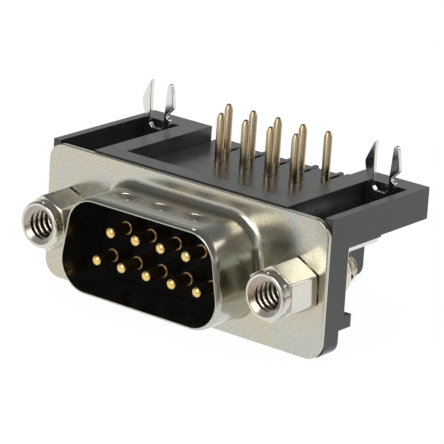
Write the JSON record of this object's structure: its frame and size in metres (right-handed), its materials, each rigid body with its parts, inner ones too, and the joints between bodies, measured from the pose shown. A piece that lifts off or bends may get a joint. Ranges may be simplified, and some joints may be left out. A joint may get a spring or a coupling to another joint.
{
  "type": "d-sub connector",
  "caption": "Right-angle D-sub plug for a circuit board, with a D-shaped metal shell, pin contacts, hexagonal screwlocks and barbed board locks.",
  "frame": {"origin": "centre of the D on the flange's front face", "axes": "+X along the flange, +Y to the rear, +Z towards the board, so the solder tails point up"},
  "size_m": [0.0308, 0.0215, 0.0164],
  "materials": {
    "shell_plate": "matt tin plate",
    "insulator_plastic": "moulded, satin",
    "housing_plastic": "moulded, matt",
    "lock_plate": "bright tin plate",
    "screw_plate": "nickel plate",
    "contact_gold": "thin gold plate"
  },
  "bodies": {
    "root": {"front_shell": "shell_plate", "contact_insulator": "insulator_plastic", "rear_housing": "housing_plastic", "tail_spacer": "housing_plastic", "board_lock_left": "lock_plate", "board_lock_right": "lock_plate", "threaded_insert_left": "screw_plate", "threaded_insert_right": "screw_plate", "screwlock_left": "screw_plate", "screwlock_right": "screw_plate", "contact_1": "contact_gold", "contact_2": "contact_gold", "contact_3": "contact_gold", "contact_4": "contact_gold", "contact_5": "contact_gold", "contact_6": "contact_gold", "contact_7": "contact_gold", "contact_8": "contact_gold", "contact_9": "contact_gold"}
  },
  "joints": []
}
